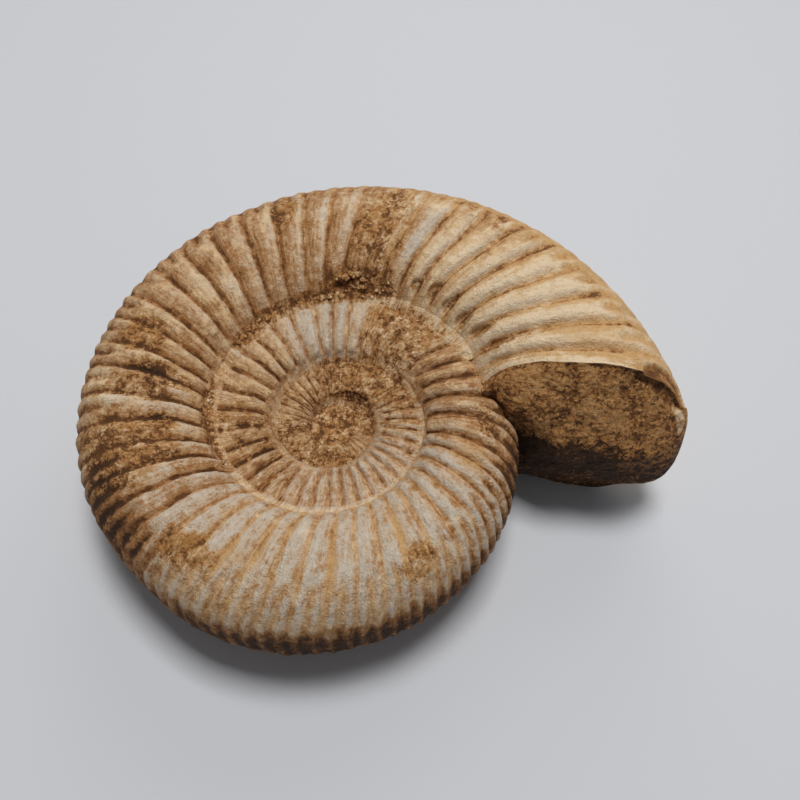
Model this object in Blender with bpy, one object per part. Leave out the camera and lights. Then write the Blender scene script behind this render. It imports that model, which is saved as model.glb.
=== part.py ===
"""An ammonite fossil: a flat coil of ribbed shell turned to stone.

The coil narrows inwards turn by turn, and each turn sits on the flank of the one inside it. The
last turn ends in a rough break across its stone filling. Units are metres, +Z up. The fossil lies
on its side, the break facing -Y, and the origin is under the middle of its box.
"""
import math

import bmesh
import bpy
from mathutils import Matrix, Vector

# Driving dimensions of the coil. Lengths ending in _SHARE are shares of the coil's radius at that turn.
COIL_RADIUS = 0.072
GROWTH = 0.0806
TIGHTENING = 0.0032
HALF_WIDTH_SHARE = 0.295
INNER_WIDENING = 0.017
SEAM_RADIUS_SHARE = 0.4407
SEAM_RADIUS_DRIFT = 0.0143
SEAM_HEIGHT_SHARE = 0.1623
SECTION_POWER = 2.468
FOLD_SHARE = 0.83
FLARE_SHARE = 0.03
FLARE_FADE = math.radians(15.0)

# Where the coil starts and stops, measured backwards round the coil from its open end.
BROKEN_END = math.radians(12.0)
COIL_TURNS = 2.22
OPEN_END_DIRECTION = -0.0441

# Ribs: one in four columns is a groove on the flanks, one in two round the outer edge.
RIBS_PER_TURN = 44
COLUMNS_PER_RIB = 4
INNER_RIB_SPACING = math.radians(9.7)
RIB_PROFILE = (-1.0, 0.45, 0.75, 0.35)
FORK_PROFILE = (-0.75, 0.55, -0.55, 0.55)
RIB_SHARE = 0.0125
RIB_LEAN_OLD = math.radians(3.5)
RIB_LEAN_YOUNG = math.radians(7.5)
OUTER_LEAN = math.radians(3.0)
LEAN_CHANGE = (math.radians(20.0), math.radians(65.0))
OUTER_LEAN_CHANGE = (math.radians(55.0), math.radians(110.0))
FLANK_LEAN_SPAN = (0.0, 0.55)
OUTER_LEAN_SPAN = (0.4, 1.0)
SMOOTH_EDGE_END = (math.radians(80.0), math.radians(105.0))
WORN_FLANK = (math.radians(225.0), math.radians(345.0))
WORN_FADE = 0.3
WORN_RIB_SHARE = 0.45

# The break: its stone filling stands out along a blunt ridge, its lower side leans forward, and its
# inner end meets the edge of the older turn further forward than the seam.
BREAK_STEPS = 5
BREAK_RIDGE = 0.0062
RIDGE_LIFT = 0.0030
RIDGE_BLUNTNESS = 4
BREAK_UNDERCUT = math.radians(5.0)
UNDERCUT_SPAN = (0.0, 0.3)
BREAK_CORNER_SHARE = 0.6
BREAK_CORNER_SPAN = (0.55, 0.85)
UNDERCUT_FADE = math.radians(30.0)
OLDER_EDGE_REACH = math.radians(11.0)
REACH_START = math.radians(320.0)
REACH_SPAN = (0.54, 0.68)

# Rows across the shell: flank rows run from the seam to the fold, edge rows round the outside.
FLANK_ROWS = 4
EDGE_ROWS = 8
LAST_FLANK_RIB_ROW = FLANK_ROWS + 1
CENTRE_RISE = 0.0012

STONE_COLOUR = (0.50, 0.38, 0.25, 1)
STONE_ROUGHNESS = 0.85
SHARPEST_SMOOTH_EDGE = math.radians(45)

# How the coil tips when it lies on three of its own high points.
REST_TILT_X = math.radians(0.74)
REST_TILT_Y = math.radians(-3.0)

WELD_DISTANCE = 1e-6
TURN = 2 * math.pi
COLUMNS_PER_TURN = RIBS_PER_TURN * COLUMNS_PER_RIB
COLUMN_STEP = TURN / COLUMNS_PER_TURN
COLUMNS = round(COIL_TURNS * COLUMNS_PER_TURN)
ROWS = 2 * FLANK_ROWS + EDGE_ROWS


def smoothstep(low, high, value):
    share = min(max((value - low) / (high - low), 0.0), 1.0)
    return share * share * (3 - 2 * share)


def mix(first, second, share):
    return first + (second - first) * share


def signed_power(value, power):
    return math.copysign(abs(value) ** power, value)


def coil_radius(turn):
    """Radius of the outer edge, which shrinks a little faster the further in it goes."""
    return COIL_RADIUS * math.exp(-(GROWTH * turn + TIGHTENING * turn * turn))


def flare(turn):
    """How much the last few ribs swell towards the open end."""
    return 1 + FLARE_SHARE * math.exp(-turn / FLARE_FADE)


def half_width_share(turn):
    return HALF_WIDTH_SHARE * math.exp(INNER_WIDENING * turn)


def seam_radius(turn):
    return SEAM_RADIUS_SHARE * math.exp(SEAM_RADIUS_DRIFT * turn) * coil_radius(turn)


def seam_height(turn):
    return SEAM_HEIGHT_SHARE * coil_radius(turn)


def section_shape(turn):
    """Centre and half height, as shares, of the rounded section that passes through the seam."""
    wall = (1 - (SEAM_HEIGHT_SHARE / half_width_share(turn)) ** SECTION_POWER) ** (1 / SECTION_POWER)
    seam_share = seam_radius(turn) / coil_radius(turn)
    centre = (wall + seam_share) / (1 + wall)
    return centre, 1 - centre, math.acos(-(wall ** (SECTION_POWER / 2)))


def section_point(turn, angle):
    """Distance from the coil's axis and height, for an angle round the section from its outer edge."""
    centre, half_height, _ = section_shape(turn)
    radius = coil_radius(turn)
    outward = centre + half_height * signed_power(math.cos(angle), 2 / SECTION_POWER)
    height = half_width_share(turn) * signed_power(math.sin(angle), 2 / SECTION_POWER)
    return radius * outward, radius * height


def fold_angle(turn):
    """Angle round the section at which the next turn's seam would touch the flank."""
    centre, half_height, _ = section_shape(turn)
    return math.acos(((FOLD_SHARE - centre) / half_height) ** (SECTION_POWER / 2))


def upper_row_angle(turn, row):
    """Angle round the section of a row between the upper seam and the outer edge."""
    fold = fold_angle(turn)
    if row <= FLANK_ROWS:
        return mix(section_shape(turn)[2], fold, row / FLANK_ROWS)
    return fold * (1 - (row - FLANK_ROWS) / (EDGE_ROWS / 2))


def mirrored_row(row):
    """The matching row on the upper half, and the side: 1 above the middle, -1 below."""
    return (row, 1) if row <= ROWS // 2 else (ROWS - row, -1)


def rib_strength(turn, row):
    """How far the ribs stand up: worn low on one flank, and smooth round the youngest outer edge."""
    if row > LAST_FLANK_RIB_ROW:
        return smoothstep(*SMOOTH_EDGE_END, turn)
    first, last = WORN_FLANK
    worn = smoothstep(first, first + WORN_FADE, turn) * (1 - smoothstep(last - WORN_FADE, last, turn))
    return mix(1.0, WORN_RIB_SHARE, worn)


def rib_relief(turn, column, row):
    """Height of the ribs above or below the plain section, in metres."""
    is_first_turn = column <= COLUMNS_PER_TURN
    if row == 0 or (row == FLANK_ROWS and not is_first_turn):
        return 0.0
    if not is_first_turn:
        return RIB_SHARE * coil_radius(turn) * math.cos(TURN * turn / INNER_RIB_SPACING)
    profile = RIB_PROFILE if row <= LAST_FLANK_RIB_ROW else FORK_PROFILE
    relief = profile[column % COLUMNS_PER_RIB] * rib_strength(turn, row)
    return RIB_SHARE * coil_radius(turn) * relief


def rib_lean(turn, across):
    """How far ahead of its start at the seam (across 0) a rib has swept on its way to the edge (1)."""
    flank = mix(RIB_LEAN_YOUNG, RIB_LEAN_OLD, smoothstep(*LEAN_CHANGE, turn))
    edge = OUTER_LEAN * smoothstep(*OUTER_LEAN_CHANGE, turn)
    lean = flank * smoothstep(*FLANK_LEAN_SPAN, across) + edge * smoothstep(*OUTER_LEAN_SPAN, across)
    reach = OLDER_EDGE_REACH * smoothstep(*REACH_SPAN, across)
    return mix(lean, reach, smoothstep(REACH_START, TURN + BROKEN_END, turn))


def undercut(turn, height, across):
    """The lower side of the last turn reaches further forward than the upper side, most at its corner."""
    share = 0.5 - 0.5 * height / (half_width_share(turn) * coil_radius(turn))
    share *= smoothstep(*UNDERCUT_SPAN, across)
    share *= 1 + BREAK_CORNER_SHARE * smoothstep(*BREAK_CORNER_SPAN, across)
    return BREAK_UNDERCUT * share * (1 - smoothstep(BROKEN_END, BROKEN_END + UNDERCUT_FADE, turn))


def around_axis(outward, turn, height):
    direction = turn + OPEN_END_DIRECTION
    return Vector((outward * math.cos(direction), outward * math.sin(direction), height))


def seam_point(turn, side):
    return around_axis(seam_radius(turn), turn, side * seam_height(turn))


def coil_point(column, row):
    """Place of one point of the shell, counted in columns back from the break."""
    turn = BROKEN_END + column * COLUMN_STEP
    upper_row, side = mirrored_row(row)
    if upper_row == 0:
        return seam_point(turn, side)
    if upper_row == FLANK_ROWS and column >= COLUMNS_PER_TURN:
        return seam_point(turn - TURN, side)
    angle = upper_row_angle(turn, upper_row)
    outward, height = section_point(turn, angle)
    relief = rib_relief(turn, column, upper_row)
    outward += relief * math.cos(angle)
    height += relief * math.sin(angle)
    if column > COLUMNS_PER_TURN:
        return around_axis(outward, turn, side * height)
    across = 1 - angle / section_shape(turn)[2]
    sweep = rib_lean(turn, across) + undercut(turn, side * height, across)
    size = coil_radius(turn - sweep) / coil_radius(turn) * flare(turn - sweep)
    return around_axis(outward * size, turn - sweep, side * height * size)


def break_point(step, row):
    """Place of one point of the break, from the last turn's rim (step 0) in to the older turn."""
    rim = coil_point(0, row)
    matching_row = FLANK_ROWS + round(row * EDGE_ROWS / ROWS)
    older = coil_point(COLUMNS_PER_TURN, matching_row)
    share = step / BREAK_STEPS
    point = rim.lerp(older, share)
    half_height = half_width_share(0.0) * COIL_RADIUS
    ridge = max(0.0, 1 - abs(point.z) / half_height) * (1 - (2 * share - 1) ** RIDGE_BLUNTNESS)
    forward = Vector((math.sin(OPEN_END_DIRECTION), -math.cos(OPEN_END_DIRECTION), 0))
    return point + ridge * (BREAK_RIDGE * forward + RIDGE_LIFT * Vector((0, 0, 1)))


def bend_grid_into_coil(mesh):
    """Each point of a flat grid takes its place on the shell or the break."""
    total_columns = COLUMNS + BREAK_STEPS
    for vertex in mesh.verts:
        column = round((vertex.co.x + 1) / 2 * total_columns) - BREAK_STEPS
        row = round((vertex.co.y + 1) / 2 * ROWS)
        vertex.co = coil_point(column, row) if column >= 0 else break_point(-column, row)


def remove_buried_faces(mesh):
    """The outer edge of each older turn is inside the turn that covers it."""
    total_columns = COLUMNS + BREAK_STEPS
    buried = []
    for face in mesh.faces:
        middle = face.calc_center_median()
        column = (middle.x + 1) / 2 * total_columns - BREAK_STEPS
        row = (middle.y + 1) / 2 * ROWS
        if column > COLUMNS_PER_TURN and FLANK_ROWS < row < ROWS - FLANK_ROWS:
            buried.append(face)
    bmesh.ops.delete(mesh, geom=buried, context="FACES")


def close_the_middle(mesh):
    """A low crust of stone fills the hollow inside the innermost turn, on each side."""
    open_edges = [edge for edge in mesh.edges if edge.is_boundary]
    filled = bmesh.ops.edgeloop_fill(mesh, edges=open_edges)["faces"]
    bmesh.ops.recalc_face_normals(mesh, faces=mesh.faces)
    bmesh.ops.poke(mesh, faces=filled, offset=CENTRE_RISE, center_mode="MEAN")


def lay_on_the_ground(mesh):
    """The coil tips onto its own high points, over the middle of its box."""
    tip = Matrix.Rotation(REST_TILT_X, 3, "X") @ Matrix.Rotation(REST_TILT_Y, 3, "Y")
    bmesh.ops.transform(mesh, matrix=tip.to_4x4(), verts=mesh.verts)
    lowest = Vector([min(vertex.co[axis] for vertex in mesh.verts) for axis in range(3)])
    highest = Vector([max(vertex.co[axis] for vertex in mesh.verts) for axis in range(3)])
    middle = (lowest + highest) / 2
    bmesh.ops.translate(mesh, vec=Vector((-middle.x, -middle.y, -lowest.z)), verts=mesh.verts)


def stone_material():
    material = bpy.data.materials.new("fossil_stone")
    material.use_nodes = True
    shader = material.node_tree.nodes["Principled BSDF"]
    shader.inputs["Base Color"].default_value = STONE_COLOUR
    shader.inputs["Roughness"].default_value = STONE_ROUGHNESS
    shader.inputs["Metallic"].default_value = 0.0
    return material


def make_ammonite():
    shell = bmesh.new()
    bmesh.ops.create_grid(shell, x_segments=COLUMNS + BREAK_STEPS, y_segments=ROWS, size=1)
    remove_buried_faces(shell)
    bend_grid_into_coil(shell)
    loose = [vertex for vertex in shell.verts if not vertex.link_faces]
    bmesh.ops.delete(shell, geom=loose, context="VERTS")
    bmesh.ops.remove_doubles(shell, verts=shell.verts, dist=WELD_DISTANCE)
    close_the_middle(shell)
    bmesh.ops.triangulate(shell, faces=shell.faces)
    lay_on_the_ground(shell)
    mesh = bpy.data.meshes.new("ammonite")
    shell.to_mesh(mesh)
    shell.free()
    mesh.shade_smooth()
    mesh.set_sharp_from_angle(angle=SHARPEST_SMOOTH_EDGE)
    mesh.materials.append(stone_material())
    return bpy.data.objects.new("ammonite", mesh)


def main():
    for old in list(bpy.data.objects):
        bpy.data.objects.remove(old)
    collection = bpy.data.collections.new("ammonite_fossil")
    bpy.context.scene.collection.children.link(collection)
    collection.objects.link(make_ammonite())


main()
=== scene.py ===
"""An ammonite fossil on a pale table: ribbed coil, crusted centre and a rough break across its last turn.

The coil follows the same rules as the solid part. A turn is an angle measured backwards round the coil
from its open end, and across runs from 0 at the seam to 1 at the outer edge and 2 at the lower seam.
Units are metres, +Z up.
"""

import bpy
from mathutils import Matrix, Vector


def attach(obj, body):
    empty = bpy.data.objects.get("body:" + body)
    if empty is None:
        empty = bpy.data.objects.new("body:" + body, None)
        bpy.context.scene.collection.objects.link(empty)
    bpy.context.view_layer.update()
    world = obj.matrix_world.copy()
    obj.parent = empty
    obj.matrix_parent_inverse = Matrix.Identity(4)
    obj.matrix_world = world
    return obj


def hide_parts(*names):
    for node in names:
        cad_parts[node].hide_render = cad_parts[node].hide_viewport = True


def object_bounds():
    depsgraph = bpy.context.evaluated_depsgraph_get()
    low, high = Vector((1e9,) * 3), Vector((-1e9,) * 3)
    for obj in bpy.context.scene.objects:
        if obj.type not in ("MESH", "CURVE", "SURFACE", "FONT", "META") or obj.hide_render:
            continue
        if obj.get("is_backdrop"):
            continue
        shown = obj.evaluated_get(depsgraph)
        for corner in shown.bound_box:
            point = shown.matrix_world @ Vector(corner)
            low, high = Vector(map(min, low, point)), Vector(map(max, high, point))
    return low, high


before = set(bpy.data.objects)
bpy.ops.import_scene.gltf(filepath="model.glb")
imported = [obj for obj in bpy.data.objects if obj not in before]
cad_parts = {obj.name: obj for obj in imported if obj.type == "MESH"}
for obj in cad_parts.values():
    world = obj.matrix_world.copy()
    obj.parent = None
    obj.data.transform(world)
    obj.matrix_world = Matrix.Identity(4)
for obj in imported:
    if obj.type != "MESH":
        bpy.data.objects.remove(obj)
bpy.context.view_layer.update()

import math

import bpy
from mathutils import Matrix, Vector

bl_info = {
    "name": "Ammonite Fossil",
    "version": (1, 0, 0),
    "blender": (4, 5, 0),
    "location": "View3D > Sidebar > Fossil",
    "description": "Builds an ammonite fossil with its ribs, crust and broken end",
    "category": "Add Mesh",
}

DEGREE = math.pi / 180
TURN = 2 * math.pi
MM = 0.001

# The coil. Lengths ending in _SHARE are shares of the coil's radius at that turn.
GROWTH = 0.0806
TIGHTENING = 0.0032
HALF_WIDTH_SHARE = 0.295
INNER_WIDENING = 0.017
SEAM_RADIUS_SHARE = 0.4407
SEAM_RADIUS_DRIFT = 0.0143
SEAM_HEIGHT_SHARE = 0.1623
SECTION_POWER = 2.468
FOLD_SHARE = 0.83
FLARE_SHARE = 0.03
FLARE_FADE = 15 * DEGREE
OPEN_END_DIRECTION = -0.0441
BROKEN_END = 12 * DEGREE
LAST_TURN_END = BROKEN_END + TURN
INNER_TURNS_END = 1300 * DEGREE
YOUNG_LENGTH_END = 163 * DEGREE
UNDERSIDE_START = 1.42
SEAM_FILL_START = 23 * DEGREE
INNER_SEAM_FILL_END = 925 * DEGREE
MIDDLE_RADIUS = 7 * MM
MIDDLE_HEIGHT = 3 * MM

# How far the ribs sweep forward, and where they fork.
YOUNG_LEAN = 7.5 * DEGREE
OLD_LEAN = 3.5 * DEGREE
OUTER_LEAN = 3 * DEGREE
FORK_SPAN = (0.47, 0.60)

# The break: how far its lower side and the older turn's edge reach forward, and the ridge across it.
UNDERCUT = 5 * DEGREE
UNDERCUT_END = 42 * DEGREE
OLDER_EDGE_REACH = 11 * DEGREE
REACH_START = 320 * DEGREE
REACH_SPAN = (0.54, 0.68)
OLDER_FOLD = 0.529
BREAK_RIDGE = 6.6 * MM
RIDGE_LIFT = 3 * MM

# How the coil lies: it tips onto its own high points, and its axis stands beside the origin.
REST_TILT = Matrix.Rotation(0.74 * DEGREE, 3, "X") @ Matrix.Rotation(-3.0 * DEGREE, 3, "Y")
REST_PLACE = Vector((-0.009711, -0.008479, 0.019591))

# The stage: lights as (name, place, sizes, watts).
TABLE_HALF = 2.0
LAMPS = (("Ceiling", (0.045, 0.09, 0.85), (0.26, 0.22), 5.0), ("Window", (0.2, 0.9, 0.55), (0.9, 0.9), 2.6))
LAMP_COLOUR = (1.0, 0.99, 0.97)
SKY_COLOUR = (0.93, 0.96, 1.0, 1)
SKY_STRENGTH = 0.155
CAMERA_PLACE = (-0.00237, -0.09251, 0.17072)
CAMERA_TURN = (31.486, -2.421, -0.031)

# What changes along the coil, as knots of (degrees back from the open end, value).
# The grooves passed, how narrow they are, and how deep in millimetres on the flank and the outer edge.
GROOVES = (
    (0, -2.3), (16.7, 0), (67, 7), (105.3, 12), (156, 18), (177, 21), (202.2, 24), (217.5, 26), (278, 34),
    (317, 39), (348.5, 43), (360, 44), (372, 45.2), (380, 46), (400, 48)
)
RIB_SHARPNESS = ((12, 9), (60, 9), (100, 11), (222, 11), (245, 5), (305, 5), (335, 11), (372, 11))
FLANK_RIB_DEPTH = (
    (12, 1.6), (60, 1.4), (80, 0.8), (105, 1), (125, 1.25), (220, 1.3), (238, 0.5), (300, 0.5),
    (335, 0.9), (350, 1.4), (372, 1.5)
)
EDGE_RIB_DEPTH = ((12, 0.2), (90, 0.2), (108, 0.5), (260, 0.5), (300, 0.85), (372, 0.85))


def arithmetic(operation, swapped=False):
    """A method of Term that adds one math node."""

    def method(self, other):
        return self.graph.math(operation, *((other, self) if swapped else (self, other)))

    return method


class Term:
    """A number in a node tree. Arithmetic on it adds math nodes."""

    def __init__(self, graph, socket):
        self.graph = graph
        self.socket = socket

    __add__ = arithmetic("ADD")
    __radd__ = arithmetic("ADD", swapped=True)
    __sub__ = arithmetic("SUBTRACT")
    __rsub__ = arithmetic("SUBTRACT", swapped=True)
    __mul__ = arithmetic("MULTIPLY")
    __rmul__ = arithmetic("MULTIPLY", swapped=True)
    __truediv__ = arithmetic("DIVIDE")
    __rtruediv__ = arithmetic("DIVIDE", swapped=True)
    __pow__ = arithmetic("POWER")


class Graph:
    """A node tree written as expressions."""

    def __init__(self, tree):
        self.tree = tree

    def node(self, kind, inputs=(), **settings):
        made = self.tree.nodes.new(kind)
        for name, value in settings.items():
            setattr(made, name, value)
        for key, value in dict(inputs).items():
            self.feed(made.inputs[key], value)
        return made

    def made(self, kind, inputs=(), **settings):
        """What the first output of a new node gives."""
        return self.node(kind, inputs, **settings).outputs[0]

    def feed(self, socket, value):
        if isinstance(value, Term):
            self.tree.links.new(value.socket, socket)
        elif isinstance(value, bpy.types.NodeSocket):
            self.tree.links.new(value, socket)
        else:
            socket.default_value = value

    def math(self, operation, *terms, clamp=False):
        made = self.tree.nodes.new("ShaderNodeMath")
        made.operation = operation
        made.use_clamp = clamp
        for socket, term in zip(made.inputs, terms):
            self.feed(socket, term)
        return Term(self, made.outputs[0])

    def clamp(self, term):
        return self.math("ADD", term, 0.0, clamp=True)

    def ramp(self, low, high, term):
        """A soft slope from 0 where the term is low to 1 where it is high."""
        inputs = {"Value": term, "From Min": low, "From Max": high}
        made = self.node("ShaderNodeMapRange", inputs, interpolation_type="SMOOTHSTEP")
        return Term(self, made.outputs["Result"])

    def curve(self, term, knots):
        """A broken line through knots of (degrees, value), for a term in radians."""
        start, end = knots[0][0], knots[-1][0]
        low = min(value for _, value in knots)
        high = max(value for _, value in knots)
        made = self.node("ShaderNodeFloatCurve")
        points = made.mapping.curves[0].points
        for index, (degrees, value) in enumerate(knots):
            place = ((degrees - start) / (end - start), (value - low) / (high - low))
            point = points[index] if index < 2 else points.new(*place)
            point.location = place
            point.handle_type = "VECTOR"
        made.mapping.update()
        self.feed(made.inputs["Value"], (term / DEGREE - start) / (end - start))
        return Term(self, made.outputs["Value"]) * (high - low) + low

    def mix(self, first, second, share):
        return self.node("ShaderNodeMix", {0: share, 4: first, 5: second}, data_type="VECTOR").outputs[1]

    def vector(self, x, y, z):
        return self.made("ShaderNodeCombineXYZ", {"X": x, "Y": y, "Z": z})

    def split(self, vector):
        made = self.node("ShaderNodeSeparateXYZ", {0: vector})
        return [Term(self, output) for output in made.outputs]

    def noise(self, place, size, detail=2.0, roughness=0.5, seed=0.0):
        """Soft random value from 0 to 1 with features of the given size in metres."""
        inputs = {"Vector": place, "W": seed, "Scale": 1 / size, "Detail": detail, "Roughness": roughness}
        made = self.node("ShaderNodeTexNoise", inputs, noise_dimensions="4D")
        return Term(self, made.outputs["Fac"])

    def cells(self, place, size, seed):
        """Distance to the nearest of scattered points, in shares of the given size."""
        inputs = {"Vector": place, "W": seed, "Scale": 1 / size}
        made = self.node("ShaderNodeTexVoronoi", inputs, voronoi_dimensions="4D")
        return Term(self, made.outputs["Distance"])


def lerp(first, second, share):
    return first + (second - first) * share


def as_group(build):
    """Turns a rule into a node group, built once and used wherever the rule is called."""

    def call(graph, *values):
        kind = "Geometry" if graph.tree.bl_idname == "GeometryNodeTree" else "Shader"
        name = f"Fossil {build.__name__} {kind}"
        tree = bpy.data.node_groups.get(name) or make_group(name, graph.tree.bl_idname, build, values)
        used = graph.node(f"{kind}NodeGroup", node_tree=tree)
        for socket, value in zip(used.inputs, values):
            graph.feed(socket, value)
        results = {output.name: Term(graph, output) if output.type == "VALUE" else output
                   for output in used.outputs}
        return results["Result"] if "Result" in results else results

    return call


def make_group(name, kind, build, values):
    tree = bpy.data.node_groups.new(name, kind)
    arguments = build.__code__.co_varnames[1:build.__code__.co_argcount]
    for argument, value in zip(arguments, values):
        is_vector = isinstance(value, bpy.types.NodeSocket) and value.type == "VECTOR"
        kind = "NodeSocketVector" if is_vector else "NodeSocketFloat"
        tree.interface.new_socket(argument, in_out="INPUT", socket_type=kind)
    graph = Graph(tree)
    given = graph.node("NodeGroupInput").outputs
    terms = [Term(graph, socket) if socket.type == "VALUE" else socket for socket in given if socket.name]
    results = build(graph, *terms)
    if not isinstance(results, dict):
        results = {"Result": results}
    for result, value in results.items():
        kind = "NodeSocketFloat" if isinstance(value, Term) else "NodeSocketVector"
        tree.interface.new_socket(result, in_out="OUTPUT", socket_type=kind)
    output = graph.node("NodeGroupOutput")
    for result, value in results.items():
        graph.feed(output.inputs[result], value)
    return tree


@as_group
def signed_power(graph, term, power):
    return graph.math("SIGN", term) * graph.math("ABSOLUTE", term) ** power


@as_group
def mirrored(graph, across):
    """How far a place is from its nearer seam, 0, towards the outer edge, 1."""
    return 1 - graph.math("ABSOLUTE", 1 - across)


@as_group
def coil_radius(graph, turn):
    radius = bpy.context.scene.fossil_sizes.coil_radius
    return graph.math("EXPONENT", (turn * TIGHTENING + GROWTH) * turn * -1.0) * radius


@as_group
def flare(graph, turn):
    return graph.math("EXPONENT", turn * (-1 / FLARE_FADE)) * FLARE_SHARE + 1


@as_group
def seam_radius(graph, turn):
    drift = graph.math("EXPONENT", turn * SEAM_RADIUS_DRIFT)
    return drift * coil_radius(graph, turn) * SEAM_RADIUS_SHARE


@as_group
def section_shape(graph, turn):
    """The rounded cross-section of the coil at one turn, in shares of its radius."""
    width = graph.math("EXPONENT", turn * INNER_WIDENING) * HALF_WIDTH_SHARE
    wall = (1 - (SEAM_HEIGHT_SHARE / width) ** SECTION_POWER) ** (1 / SECTION_POWER)
    seam = graph.math("EXPONENT", turn * SEAM_RADIUS_DRIFT) * SEAM_RADIUS_SHARE
    centre = (wall + seam) / (wall + 1)
    return {
        "width": width,
        "centre": centre,
        "half": 1 - centre,
        "seam_angle": graph.math("ARCCOSINE", wall ** (SECTION_POWER / 2) * -1.0),
    }


@as_group
def section_point(graph, turn, angle):
    """Distance from the coil's axis, and height, at an angle round the section from its outer edge."""
    shape = section_shape(graph, turn)
    radius = coil_radius(graph, turn)
    power = 2 / SECTION_POWER
    outward = signed_power(graph, graph.math("COSINE", angle), power)
    height = signed_power(graph, graph.math("SINE", angle), power)
    return {
        "outward": (shape["centre"] + shape["half"] * outward) * radius,
        "height": shape["width"] * height * radius,
    }


@as_group
def around_axis(graph, outward, turn, height):
    direction = turn + OPEN_END_DIRECTION
    x, y = (graph.math(side, direction) * outward for side in ("COSINE", "SINE"))
    return graph.vector(x, y, height)


@as_group
def rib_lean(graph, turn, across):
    """How far ahead of its start at the seam a rib has swept on its way to the outer edge."""
    flank = lerp(YOUNG_LEAN, OLD_LEAN, graph.ramp(20 * DEGREE, 65 * DEGREE, turn))
    edge = graph.ramp(55 * DEGREE, 110 * DEGREE, turn) * OUTER_LEAN
    return flank * graph.ramp(0, 0.55, across) + edge * graph.ramp(0.4, 1.0, across)


@as_group
def undercut(graph, turn, level, across):
    """The lower side of the last turn reaches further forward, most at its corner."""
    share = (0.5 - level * 0.5) * graph.ramp(0, 0.3, across)
    share = share * (graph.ramp(0.55, 0.85, across) * 0.6 + 1)
    return share * (1 - graph.ramp(BROKEN_END, UNDERCUT_END, turn)) * UNDERCUT


@as_group
def groove_depth(graph, count, sharpness, brow):
    """1 in a groove and 0 on a rib, for ribs counted from groove to groove.

    A rib rises steeply out of the groove before it and falls away slowly from its brow.
    """
    wave = graph.math("ABSOLUTE", graph.math("COSINE", count * math.pi))
    slope = graph.ramp(brow, 1.0, graph.math("FRACT", count)) * 0.5
    return graph.math("MAXIMUM", lerp(wave ** 2, wave ** sharpness, 0.8), slope)


@as_group
def oval(graph, turn, across, middle, level, half_turn, half_across):
    """1 in the middle of an oval patch, 0 at its rim and less outside it."""
    along = (turn - middle) / half_turn
    side = (across - level) / half_across
    return 1 - along * along - side * side


@as_group
def move(graph, place, direction, distance):
    shift = graph.made("ShaderNodeVectorMath", {0: direction, "Scale": distance}, operation="SCALE")
    return graph.made("ShaderNodeVectorMath", {0: place, 1: shift})


def unevenness(graph, place, drift_size, rough_size, fine_size):
    """Broad, middling and fine unevenness, each from about -0.5 to 0.5."""
    drift = graph.noise(place, drift_size, 1, 0.5, 0.0) - 0.5
    rough = graph.noise(place, rough_size, 3, 0.6, 1.0) - 0.5
    fine = graph.noise(place, fine_size, 4, 0.65, 2.0) - 0.5
    return drift, rough, fine


@as_group
def crust_relief(graph, place):
    """Coarse grains and pits of crusted stone, from about -1 to 1."""
    coarse = graph.noise(place, 3.0 * MM, 6, 0.7, 3.0)
    grains = graph.cells(place, 1.0 * MM, seed=1.0)
    return (coarse - 0.5) * 3.2 + (0.45 - grains) * 0.35


@as_group
def frayed(graph, mask, fray):
    """A soft mask turned into patches with broken edges."""
    return graph.ramp(0.22, 0.78, mask + fray * graph.ramp(0.0, 0.3, mask))


# Where each kind of stone shows on the last turn: degrees, across, half spans in degrees and across.
PATCHES = {
    "rust": (
        (166, 0.44, 8, 0.12), (203, 0.5, 17, 0.33), (112, 0.5, 5, 0.13), (83, 0.4, 8, 0.25),
        (77, 0.26, 6, 0.1), (306, 0.6, 7, 0.14), (238, 0.52, 11, 0.13), (196, 0.33, 8, 0.13),
        (359, 0.5, 10, 0.08), (176, 0.3, 6, 0.2), (184, 0.4, 5, 0.2), (22, 0.2, 2.2, 0.2),
        (27, 0.74, 2.2, 0.06), (51, 0.84, 2.6, 0.07), (55, 0.52, 1.8, 0.1)
    ),
    # In dark, the long patch on the outer edge at the front is partly stain and partly painted shade.
    "dark": (
        (222, 0.74, 17, 0.25), (275, 1.07, 66, 0.3), (178, 0.35, 5, 0.15), (195, 0.32, 4, 0.09),
        (209, 0.62, 7, 0.15), (352, 1, 18, 0.38)
    ),
    "ochre": (
        (76, 0.28, 4, 0.1), (248, 0.47, 6, 0.08), (45, 0.68, 50, 0.2), (257, 0.38, 2.5, 0.16),
        (343, 0.45, 14, 0.14), (303, 0.4, 3, 0.2), (278, 0.4, 2.2, 0.25), (20, 0.5, 10, 0.2)
    ),
    "pale": (
        (78, 0.5, 20, 0.14), (99, 0.4, 1.8, 0.14), (105, 0.28, 1.1, 0.22), (135, 0.26, 4.5, 0.1),
        (144, 0.35, 4.5, 0.09), (209, 0.62, 2.2, 0.14), (213, 0.4, 5, 0.07), (182, 0.6, 4, 0.13),
        (30, 0.38, 18, 0.18), (60, 0.3, 12, 0.14), (18, 0.57, 6, 0.08), (187, 0.5, 4, 0.11)
    ),
    "grey": (
        (81, 0.25, 2.6, 0.07), (70, 0.35, 7, 0.16), (181, 0.25, 3.5, 0.09), (189, 0.3, 4, 0.11),
        (213, 0.3, 3.5, 0.1), (325, 0.58, 3.2, 0.2), (248, 0.35, 7, 0.25), (270, 0.55, 13, 0.28),
        (285, 0.5, 5, 0.35), (297, 0.6, 5, 0.3), (307, 0.5, 6, 0.2), (332, 0.85, 10, 0.15)
    ),
}
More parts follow.
